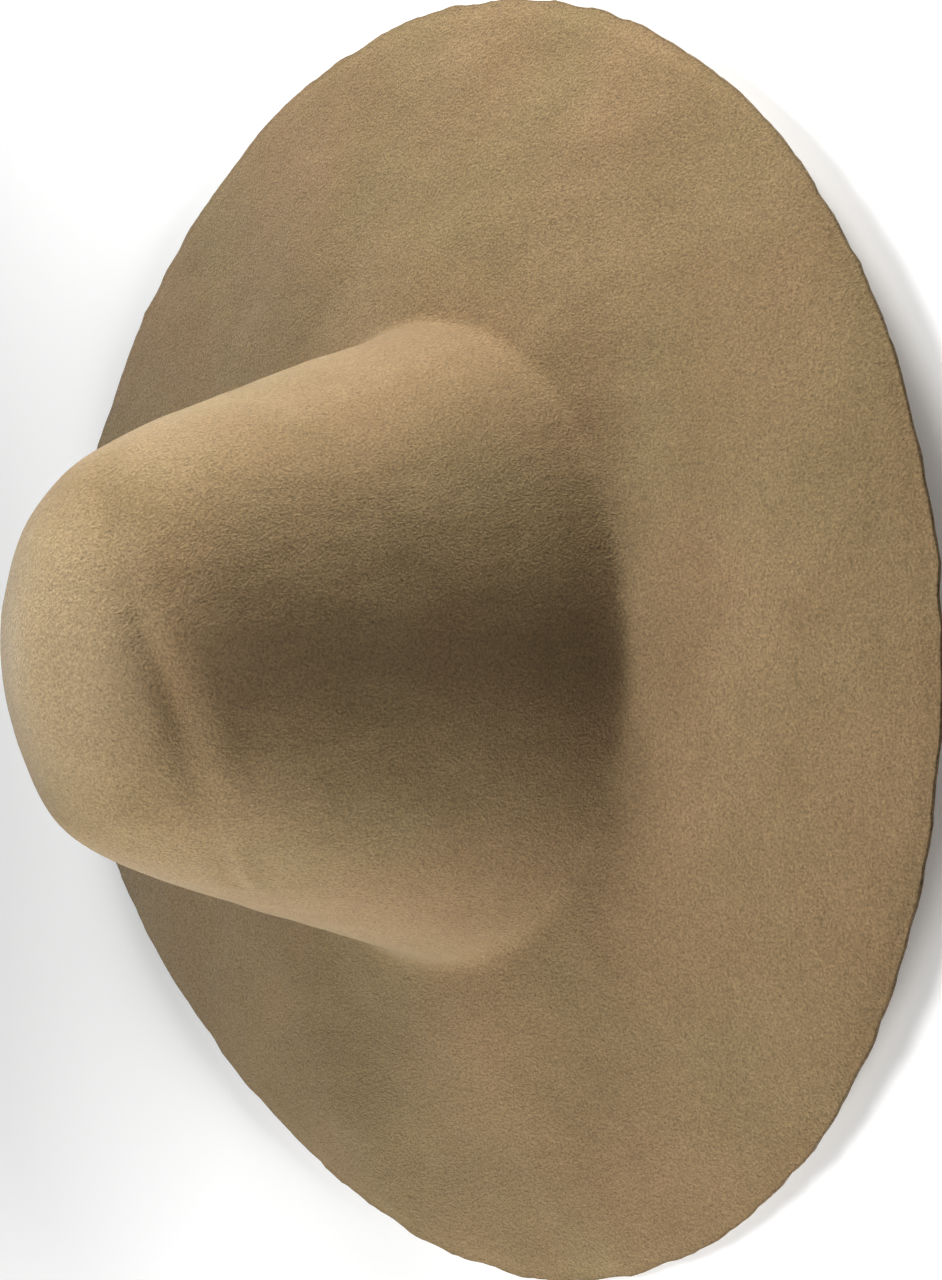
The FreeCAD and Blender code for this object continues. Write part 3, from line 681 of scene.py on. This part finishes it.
def cut_ring(angle, turn):
    """A rough ring of the cut edge, that many degrees round from the upper face."""
    depth = FELT_THICKNESS / 2 * (1 - math.cos(math.radians(turn)))
    bulge = EDGE_BULGE * math.sin(math.radians(turn))
    ring = felt_rings(np.array([2.0]), angle, depth, bulge)[0]
    rough = 0.16 * around_ripples(angle, 3.2, 20 + int(turn))
    ring[..., :2] *= (1 + rough / np.hypot(ring[..., 0], ring[..., 1]))[..., None]
    return ring


def make_felt(material):
    """Crown and brim as one skin: the upper face, a raw cut edge and the under face."""
    angle = circle(AROUND)
    runs = np.concatenate([felt_runs(2.2)[1:-3], [1.955, 1.97, 1.982, 1.992, 2.0]])
    under_runs = np.concatenate([felt_runs(4.6)[1:-2], [1.97, 1.992, 2.0]])
    upper, upper_edge = felt_rings(runs, angle, 0.0)
    under, under_edge = felt_rings(under_runs, angle, FELT_THICKNESS)
    cut = np.concatenate([cut_ring(angle, turn) for turn in EDGE_TURNS])
    rings = np.concatenate([upper, cut, under[::-1]])
    rings[..., 2] += BREAK_Z
    distance = np.concatenate([upper_edge, np.zeros(cut.shape[:2]), under_edge[::-1]])
    # rim also tells the material where to paint shade on the cut edge.
    rim = np.append(1 - smooth_step(distance, 0, 9), [0, 0])
    rim[len(upper) * AROUND : (len(upper) + len(cut)) * AROUND] = 2
    make_piece("felt_shell", closed_disc(rings), material, "felt_body", {"rim": rim})


# --- Shapes that follow the inside of the crown ---


def wall(height, inset, angle):
    """The felt's inner wall at a height above the break, less an inset towards the head."""
    share = 1 - CROWN_TAPER * height / CROWN_HEIGHT
    skin = FELT_SLANT * FELT_THICKNESS + inset
    half_width = OPENING_HALF_WIDTH * share - skin
    half_length = OPENING_HALF_LENGTH * share - skin
    return oval(half_width, half_length, height + BREAK_Z, angle)


def under_tip(height, inset, angle):
    """A point near the lining's flat tip, at an inset from the tip's edge."""
    half_width = TIP_HIGH[0] + TIP_TRIM - inset
    half_length = TIP_HIGH[1] + TIP_TRIM - inset
    return oval(half_width, half_length, height + BREAK_Z, angle)


def rounded_strip(low, high, back, face, rises):
    """A thin strip's section with round edges: insets and heights, once round."""
    middle = (back + face) / 2
    half = (face - back) / 2
    turns = np.radians([180, 210, 240, 270, 300, 330, 360])
    foot = [(middle + half * math.cos(t), low + half + half * math.sin(t)) for t in turns]
    head = [(middle - half * math.cos(t), high - half - half * math.sin(t)) for t in turns]
    heights = np.linspace(low + half, high - half, rises)[1:-1]
    up = [(face, height) for height in heights]
    down = [(back, height) for height in heights[::-1]]
    return np.array(foot + up + head + down)


def tube(line, radius, sides, closed=False, lobes=0, twist=0.0, swell=0.0, ends=1.0):
    """A bar along a line of points, with lobes that wind round it and ends of a given width."""
    if closed:
        ahead = np.roll(line, -1, 0) - np.roll(line, 1, 0)
    else:
        ahead = np.gradient(line, axis=0)
    ahead /= np.linalg.norm(ahead, axis=1, keepdims=True)
    side = np.cross(ahead, (0.3, 0.2, 1.0))
    side /= np.linalg.norm(side, axis=1, keepdims=True)
    above = np.cross(side, ahead)
    steps = np.linalg.norm(np.diff(line, axis=0), axis=1)
    along = np.concatenate([[0], np.cumsum(steps)])[:, None]
    turn = circle(sides)[None, :]
    share = np.linspace(0, 1, len(line))[:, None]
    width = radius * np.clip(8 * np.minimum(share, 1 - share) + ends, 0, 1)
    width = width * (1 + swell * np.cos(lobes * turn - twist * along))
    offset = side[:, None] * np.cos(turn)[..., None] + above[:, None] * np.sin(turn)[..., None]
    return line[:, None] + offset * width[..., None]


def stitch(place, start, end, arch):
    """A thread between two holes; start, end and arch are a height, an inset and an angle."""
    steps, sides = 9, 8
    share = np.linspace(0, 1, steps)
    lift = np.sin(math.pi * share) ** 0.6
    line = place(*[a + (b - a) * share + c * lift for a, b, c in zip(start, end, arch)])
    ring = tube(line, THREAD_RADIUS, sides, lobes=2, twist=4.0, swell=0.14, ends=0.5)
    return ring, closed_bar(steps, sides)


def seam(name, stands_for, material, place, count, share, start, end, arch):
    """Evenly spaced stitches all the way round."""
    pitch = TURN / count
    parts = []
    for index in range(count):
        angle = (index + 0.5) * pitch
        ends = (*start, angle), (*end, angle + share * pitch)
        parts.append(stitch(place, *ends, (*arch, 0.0)))
    make_piece(name, joined(parts), material, stands_for)


# --- The sweatband and what holds it ---


def leather_lean(height):
    """How far the leather leans in from the felt near its top."""
    return LEATHER_LEAN * np.clip((height - BAND_TOP + LEAN_RISE) / LEAN_RISE, 0, 1) ** 2


def make_sweatband(material):
    """A strip of leather with pressed lines near its top, its ends butted at the rear."""
    section = rounded_strip(BAND_FOOT, BAND_TOP, LEATHER_BACK, LEATHER_FACE, 72)
    inset, height = section[:, 0], section[:, 1]
    on_face = (inset - LEATHER_BACK) / (LEATHER_FACE - LEATHER_BACK)
    for line in PRESSED_LINES:
        inset = inset - 0.22 * on_face * np.exp(-(((height - line) / 0.45) ** 2))
    inset = inset + leather_lean(height)
    half_slit = HALF_SLIT / OPENING_HALF_WIDTH
    angle = np.linspace(REAR + half_slit, REAR + TURN - half_slit, AROUND)[:, None]
    from_front = np.abs(angle - REAR - TURN / 2)
    sway = 0.5 + 0.28 * np.sin(5 * angle + 1) + 0.16 * np.sin(11 * angle)
    sway = sway * np.clip((height - 22) / 35, 0, 1) * smooth_step(from_front, math.pi, 2.7)
    points = wall(height[None, :], inset[None, :] + sway, angle)
    shape = points, closed_bar(len(angle), len(section))
    piece = make_piece("sweatband_leather", shape, material, "sweatband")


def make_reed_tape(material):
    """Tape folded up round the reed: a tall flap behind the leather and a short front lip."""
    middle, thin = (TAPE_OUTER + TAPE_INNER) / 2, (TAPE_OUTER - TAPE_INNER) / 2
    under = np.radians(np.arange(180, 361, 15))
    cap = np.radians([0, 45, 90, 135, 180])

    def bend(radius, turns):
        return [(REED_INSET + radius * math.cos(t), -REED_DROP + radius * math.sin(t)) for t in turns]

    def end(centre, top):
        return [(centre + thin * math.cos(t), top - thin + thin * math.sin(t)) for t in cap]

    rises = np.linspace(TAPE_FLAP - REED_DROP - thin, -REED_DROP, 26)[1:-1]
    flap_end = end(REED_INSET - middle, TAPE_FLAP - REED_DROP)
    outside = [(REED_INSET - TAPE_OUTER, height) for height in rises]
    lip_end = end(REED_INSET + middle, TAPE_LIP - REED_DROP)
    inside = [(REED_INSET - TAPE_INNER, height) for height in rises[::-1]]
    section = flap_end + outside + bend(TAPE_OUTER, under)
    section += lip_end + bend(TAPE_INNER, under[::-1]) + inside
    inset, height = np.array(section).T
    angle = circle(AROUND)[:, None]
    fray = 0.08 * np.sin(97 * angle) * (height > TAPE_FLAP - 3)
    points = wall(height[None, :] + fray, inset[None, :], angle)
    shape = points, lattice(AROUND, len(section), rows_close=True, columns_close=True)
    piece = make_piece("reed_tape_folded", shape, material, "reed_tape")


def make_joint_stitches(material):
    """A zigzag over the butted ends of the leather, on the face towards the head."""
    half_swing = ZIGZAG_SWING / OPENING_HALF_LENGTH
    gap = 0.2
    parts = []
    side = 1
    height = BAND_FOOT + 4.5
    while height < BAND_TOP - 2.4:
        inset = LEATHER_FACE - 0.1 + leather_lean(height)
        start = (height + gap, inset, REAR + side * half_swing)
        end = (height + ZIGZAG_RISE - gap, inset, REAR - side * half_swing)
        parts.append(stitch(wall, start, end, (0.0, 0.42, 0.0)))
        side = -side
        height += ZIGZAG_RISE
    make_piece("joint_zigzag", joined(parts), material, "rear_joint_stitches")


def make_backing(material):
    """A strip of cloth with pinked ends, glued behind the butted ends of the leather."""
    width = BACKING_HIGH[0] - BACKING_LOW[0]
    foot = BACKING_LOW[2] - BREAK_Z
    head = BACKING_HIGH[2] - BREAK_Z
    trim = 0.6
    across = np.linspace(-1, 1, 49)[None, :]
    up = np.linspace(0, 1, 60)[:, None]
    pink = 0.55 * (2 * np.abs((across * 6) % 1 - 0.5) - 0.5)
    height = foot + pink + trim + (head - foot - 2 * pink - 2 * trim) * up
    angle = REAR + width / 2 / BACKING_HIGH[1] * across
    back, front = [wall(height, inset, angle) for inset in BACKING_INSETS]
    shape = closed_slab(front, back)
    piece = make_piece("joint_backing_cloth", shape, material, "rear_joint_backing")


# --- The bow at the rear joint ---


def bow_place(sideways, upwards, inwards):
    """A point beside the bow's centre; it follows the leather's lean and its curve."""
    follow = sideways**2 / (2 * OPENING_HALF_WIDTH) * 0.8
    height = BOW_RISE + upwards
    spot = wall(height, BOW_INSET + inwards + follow, REAR)
    return np.stack(np.broadcast_arrays(sideways, spot[..., 1], spot[..., 2]), -1)


def bow_loop(side):
    """One soft loop, pleated at the knot, and how far along the ribbon each point lies."""
    share = np.linspace(0, 1, 60)[:, None]
    across = np.linspace(-1, 1, 17)[None, :]
    turn = math.pi * share
    reach = 1.2 + 14.3 * np.sin(turn) ** 0.75
    depth = np.cos(turn) * (0.25 + 1.25 * np.sin(turn) ** 0.9)
    loose = smooth_step(reach, 2, 8)
    pleat = 0.35 * np.cos(2.5 * math.pi * across) * (1 - loose)
    upwards = RIBBON_HALF_WIDTH * (0.62 + 0.38 * loose) * across - 0.035 * reach**1.2
    faces = []
    for skin in (0.0, RIBBON_THICKNESS):
        sideways = side * reach * (1 - skin / 15)
        faces.append(bow_place(sideways, upwards, depth * (1 - skin / 1.5) + pleat * 0.5))
    along = share * LOOP_LENGTH * np.ones_like(across)
    return closed_slab(*faces), np.tile(along.ravel(), 2)


def bow_tail(side):
    """One tail with a notched end, and how far along the ribbon each point lies."""
    share = np.linspace(0, 1, 34)[:, None]
    across = np.linspace(-1, 1, 17)[None, :]
    length = TAIL_LENGTH + (0.9 if side > 0 else 0)
    lean = math.radians(-34 if side > 0 else -37)
    along = (length - TAIL_NOTCH * (1 - np.abs(across))) * share
    offset = RIBBON_HALF_WIDTH * (0.6 + 0.4 * smooth_step(along, 1, 7)) * across
    wave = 0.5 * np.sin(along / 3.2 + side) * smooth_step(along, 2, 8)
    sideways = side * (0.8 + along * math.cos(lean) - offset * math.sin(lean))
    upwards = -0.6 + along * math.sin(lean) + offset * math.cos(lean)
    depths = [-1.5 + wave * 0.5 + skin for skin in (0.0, RIBBON_THICKNESS)]
    faces = [bow_place(sideways, upwards, depth) for depth in depths]
    return closed_slab(*faces), np.tile(along.ravel(), 2)


def make_bow_ribbon(material):
    """Two soft loops and two notched tails of one grosgrain ribbon."""
    parts = [bow_loop(-1), bow_loop(1), bow_tail(-1), bow_tail(1)]
    shape = joined([slab for slab, _ in parts])
    notes = {"along": np.concatenate([along for _, along in parts])}
    make_piece("bow_loops_and_tails", shape, material, "bow_ribbon", notes)


def make_bow_knot(material):
    """The ribbon wrapped once round the bow's middle, pulled into soft folds."""
    half_depth, half_height, half_length = 1.6, 3.2, 2.1
    around, columns = 64, 21
    turn = circle(around)[:, None]
    across = np.linspace(-1, 1, columns)[None, :]
    crease = 0.16 * np.cos(3 * math.pi * across + 0.6 * np.sin(turn))
    puff = 0.35 * np.sqrt(np.clip(1 - across**2, 0, 1)) + crease

    def skin(swell, shorten):
        size = (np.abs(np.cos(turn)) ** 4 + np.abs(np.sin(turn)) ** 4) ** -0.25
        depth = (half_depth + swell) * size * np.cos(turn)
        height = (half_height + swell) * size * np.sin(turn)
        length = half_length * across * shorten * (1 + 0.06 * np.cos(2 * turn))
        return bow_place(length, height, depth)

    points = np.concatenate([skin(puff, 1), skin(0, 0.94)[:, ::-1]], 1)
    shape = points, lattice(around, 2 * columns, rows_close=True, columns_close=True)
    notes = {"along": np.tile(np.arange(around)[:, None] * 0.35, (1, 2 * columns)).ravel()}
    make_piece("bow_knot_wrap", shape, material, "bow_knot", notes)


# --- The lining ---


def lining_axis(height, opening, tip):
    """Half the lining's width or length at a height, from those of the opening and the tip."""
    rise = LINING_HEAD - LINING_KNEE
    slope = -CROWN_TAPER * opening / CROWN_HEIGHT
    low = opening * (1 - CROWN_TAPER * LINING_KNEE / CROWN_HEIGHT)
    low = low - FELT_SLANT * FELT_THICKNESS - LINING_CLEARANCE
    end_slope = (tip - low) / rise * 1.25
    s = np.clip((height - LINING_KNEE) / rise, 0, 1)
    curve = (2 * s**3 - 3 * s**2 + 1) * low + (s**3 - 2 * s**2 + s) * rise * slope
    curve = curve + (3 * s**2 - 2 * s**3) * tip + (s**3 - s**2) * rise * end_slope
    return np.where(height <= LINING_KNEE, low + slope * (height - LINING_KNEE), curve)


def lining_puff(height, angle):
    """How far the gathered satin stands out from its plain curve."""
    share = np.clip((height - LINING_KNEE) / (LINING_HEAD - LINING_KNEE), 0, 1)
    turns = 58 * angle + 0.9 * np.sin(2 * angle + 0.5) + 0.7 * np.sin(7 * angle + 2)
    turns = turns + 0.35 * share * np.sin(13 * angle + 4 * share)
    fine = np.sin(turns) + 0.25 * np.sin(2 * turns + 1)
    broad = np.sin(turns / 2 + 0.4 * np.sin(3 * angle))
    at_seam = 1 - 0.75 * smooth_step(height, LINING_HEAD - 4, LINING_HEAD)
    uneven = 1 + 0.3 * np.sin(9 * angle + 1) * np.sin(4 * angle)
    puff = 1.45 * share**1.1 * at_seam * uneven * fine
    puff = puff + 0.8 * np.sin(math.pi * share) ** 1.5 * broad
    return puff - 0.5 * share * at_seam


def make_lining_side(material):
    """A strip of satin, plain at its foot and gathered into the seam round the tip."""
    around = 640
    angle = circle(around)[None, :]
    low_part = np.linspace(LINING_FOOT, LINING_KNEE, 12)[:-1]
    high_part = np.linspace(LINING_KNEE, LINING_HEAD, 45)
    height = np.concatenate([low_part, high_part])[:, None]
    puff = lining_puff(height, angle)
    half_width = lining_axis(height, OPENING_HALF_WIDTH, TIP_HIGH[0]) + puff
    half_length = lining_axis(height, OPENING_HALF_LENGTH, TIP_HIGH[1]) + puff
    depths = (0.0, LINING_THICKNESS)
    outer, inner = [oval(half_width - d, half_length - d, height + BREAK_Z, angle) for d in depths]
    points = np.concatenate([outer, inner[::-1]])
    shape = points, lattice(len(points), around, rows_close=True, columns_close=True)
    piece = make_piece("lining_side_satin", shape, material, "lining_side")


def make_lining_tip(material):
    """The satin oval over the head, slightly domed and puckered along its seam."""
    around = 348
    angle = circle(around)[None, :]
    share = np.linspace(0, 1, 36)[1:, None] ** 0.8
    pucker = 0.22 * np.sin(116 * angle + 2 * np.sin(3 * angle)) * smooth_step(share, 0.82, 0.96)
    pucker = pucker * (1 - smooth_step(share, 0.97, 1.0))
    dome = 1.6 * (1 - share**2) + 0.25 * np.sin(3 * angle + 5 * share) * share * (1 - share)
    rings = []
    for depth in (0.0, TIP_THICKNESS):
        height = TIP_HIGH[2] - BREAK_Z - TIP_TRIM + dome + pucker - depth
        rings.append(under_tip(height, TIP_TRIM, angle))
        rings[-1][..., :2] *= share[..., None]
    shape = closed_disc(np.concatenate([rings[0], rings[1][::-1]]))
    piece = make_piece("lining_tip_satin", shape, material, "lining_tip")


def make_piping(material):
    """The cord round the tip's seam, covered with satin cut on the slant."""
    around, sides = 900, 14
    angle = circle(around)
    radius = (PIPING_HIGH[2] - PIPING_LOW[2]) / 2
    height = (PIPING_HIGH[2] + PIPING_LOW[2]) / 2
    line = oval(PIPING_HIGH[0] - radius, PIPING_HIGH[1] - radius, height, angle)
    ring = tube(line, radius * 0.96, sides, closed=True, lobes=1, twist=2.2, swell=0.05)
    shape = ring, lattice(around, sides, rows_close=True, columns_close=True)
    make_piece("piping_cord", shape, material, "lining_piping")


def make_protector(material):
    """A clear film that keeps the head off the satin, slightly rippled by its stitches."""
    around = 288
    angle = circle(around)[None, :]
    share = np.linspace(0, 1, 28)[1:, None]
    ripple = 0.12 * np.sin(36 * angle) * smooth_step(share, 0.8, 1.0)
    sag = -0.35 * (1 - share**2)
    rings = []
    for height in (FILM_HIGH[2], FILM_LOW[2]):
        lift = height + sag + ripple - 0.12
        rings.append(oval(FILM_HIGH[0] * share, FILM_HIGH[1] * share, lift, angle))
    shape = closed_disc(np.concatenate([rings[0], rings[1][::-1]]))
    piece = make_piece("tip_protector_film", shape, material, "tip_protector")


# --- Floor, light and camera ---


def pale_material(name, near_glow, far_glow):
    """An even studio surface, nearly white, that glows where no light reaches it."""
    material, tree, shader, place = new_material(name)
    tone = spread(tree, noise(tree, place, 400), 0.3, 0.7)
    color = blend(tree, tone, (0.80, 0.80, 0.80, 1), (0.83, 0.83, 0.83, 1))
    finish_material(tree, shader, color, 0.9, (0, 0, 0))
    away = add(tree, "ShaderNodeVectorMath", {0: place}, operation="LENGTH").outputs["Value"]
    glow = spread(tree, away, 0.35, 1.1, near_glow, far_glow)
    feed(tree, shader, {"Emission Color": color, "Emission Strength": glow})
    behind = add(tree, "ShaderNodeNewGeometry").outputs["Backfacing"]
    clear = add(tree, "ShaderNodeBsdfTransparent").outputs["BSDF"]
    sides = add(tree, "ShaderNodeMixShader", {0: behind, 1: shader.outputs["BSDF"], 2: clear})
    output = next(node for node in tree.nodes if node.type == "OUTPUT_MATERIAL")
    tree.links.new(sides.outputs[0], output.inputs["Surface"])
    return material


def stage_piece(name, points, faces, material):
    """A mesh in metres that belongs to the studio and not to the hat."""
    mesh = bpy.data.meshes.new(name)
    mesh.from_pydata(points, [], faces)
    mesh.shade_smooth()
    mesh.materials.append(material)
    piece = bpy.data.objects.new(name, mesh)
    bpy.context.scene.collection.objects.link(piece)
    return piece


def make_floor():
    """A pale floor that runs out of sight, just under the brim's lowest point."""
    half = 30.0
    drop = -0.4 * MM
    corners = [(-half, -half, drop), (half, -half, drop), (half, half, drop), (-half, half, drop)]
    material = pale_material("floor", FLOOR_GLOW, FAR_FLOOR_GLOW)
    stage_piece("floor", corners, [(0, 1, 2, 3)], material)


def make_backdrop():
    """A pale globe round everything; only the camera sees it, so it gives no light."""
    rows, around, radius = 24, 48, 24.0
    fall = np.radians(np.linspace(4, 176, rows))[:, None]
    turn = circle(around)[None, :]
    x, y = np.sin(fall) * np.cos(turn), np.sin(fall) * np.sin(turn)
    rings = radius * np.stack(np.broadcast_arrays(x, y, np.cos(fall)), -1)
    points, faces = closed_disc(rings)
    inward = [face if len(face) == 4 else face[::-1] for face in faces]
    material = pale_material("backdrop", BACKDROP_GLOW, BACKDROP_GLOW)
    globe = stage_piece("backdrop", points.tolist(), inward, material)
    for ray in ("diffuse", "glossy", "transmission", "shadow"):
        setattr(globe, f"visible_{ray}", False)


def softbox(name, place, target, size, power, beam=180.0):
    """A square soft light with a beam of that many degrees, never seen by the camera."""
    data = bpy.data.lights.new(name, "AREA")
    data.size = size
    data.energy = power
    data.spread = math.radians(beam)
    light = bpy.data.objects.new(name, data)
    bpy.context.scene.collection.objects.link(light)
    light.location = place
    light.rotation_mode = "QUATERNION"
    light.rotation_quaternion = (Vector(target) - Vector(place)).to_track_quat("-Z", "Y")
    light.visible_camera = False


def beside(side, rise):
    """A softbox's place to the hat's front or rear, at that elevation."""
    angle = math.radians(rise)
    height = CROWN_MIDDLE[2] + SOFTBOX_AWAY * math.sin(angle)
    return 0, side * SOFTBOX_AWAY * math.cos(angle), height


def make_lights():
    """A softbox low beside the hat's front, one beside its rear and one close overhead."""
    front, rear = beside(-1, FRONT_RISE), beside(1, REAR_RISE)
    softbox("front_softbox", front, CROWN_MIDDLE, SOFTBOX_SIZE, FRONT_POWER)
    softbox("rear_softbox", rear, CROWN_MIDDLE, SOFTBOX_SIZE, REAR_POWER)
    softbox("overhead", OVERHEAD_PLACE, NEAR_BRIM, OVERHEAD_SIZE, OVERHEAD_POWER, OVERHEAD_BEAM)
    world = bpy.data.worlds.new("studio")
    world.use_nodes = True
    background = world.node_tree.nodes["Background"]
    background.inputs["Color"].default_value = (1, 1, 1, 1)
    background.inputs["Strength"].default_value = WORLD_STRENGTH
    bpy.context.scene.world = world


def make_camera():
    """Looks down at the wearer's left side, turned so that the crown points left."""
    elevation = math.radians(43.9)
    roll = math.radians(1.6)
    distance = 1.1
    centre = Vector((0, 0.65, BREAK_Z - 20.3)) * MM
    back = Vector((math.cos(elevation), 0, math.sin(elevation)))
    rear = Vector((0, 1, 0))
    above = Vector((-math.sin(elevation), 0, math.cos(elevation)))
    upward = rear * math.cos(roll) - above * math.sin(roll)
    rightward = -(rear * math.sin(roll) + above * math.cos(roll))
    data = bpy.data.cameras.new("camera")
    data.lens = 90.5
    data.clip_start = 0.05
    data.clip_end = 100
    camera = bpy.data.objects.new("camera", data)
    bpy.context.scene.collection.objects.link(camera)
    turn = Matrix((rightward, upward, back)).transposed()
    camera.matrix_world = Matrix.Translation(centre + back * distance) @ turn.to_4x4()
    bpy.context.scene.camera = camera


def set_tone():
    """The photograph's contrast."""
    view = bpy.context.scene.view_settings
    view.view_transform = "Standard"
    view.gamma = VIEW_GAMMA


def put_on(node_name, material):
    """Gives a CAD node that stays in view its material."""
    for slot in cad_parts[node_name].material_slots:
        slot.material = material


thread = thread_material()
satin = satin_material()
cloth = cloth_material()
ribbon = ribbon_material()

make_felt(felt_material())
put_on("sweatband_reed", plastic_material())
make_reed_tape(cloth)
make_sweatband(leather_material())
make_backing(cloth)
make_joint_stitches(thread)
seam("tape_thread", "tape_stitches", thread, wall, *TAPE_STITCH)
seam("felt_thread", "felt_stitches", thread, wall, *FELT_STITCH)
make_bow_ribbon(ribbon)
make_bow_knot(ribbon)
make_lining_side(satin)
make_lining_tip(satin)
make_piping(satin)
seam("lining_thread", "lining_stitches", thread, under_tip, *LINING_STITCH)
make_protector(film_material())
seam("film_thread", "protector_stitches", thread, under_tip, *FILM_STITCH)
make_floor()
make_backdrop()
make_lights()
make_camera()
set_tone()
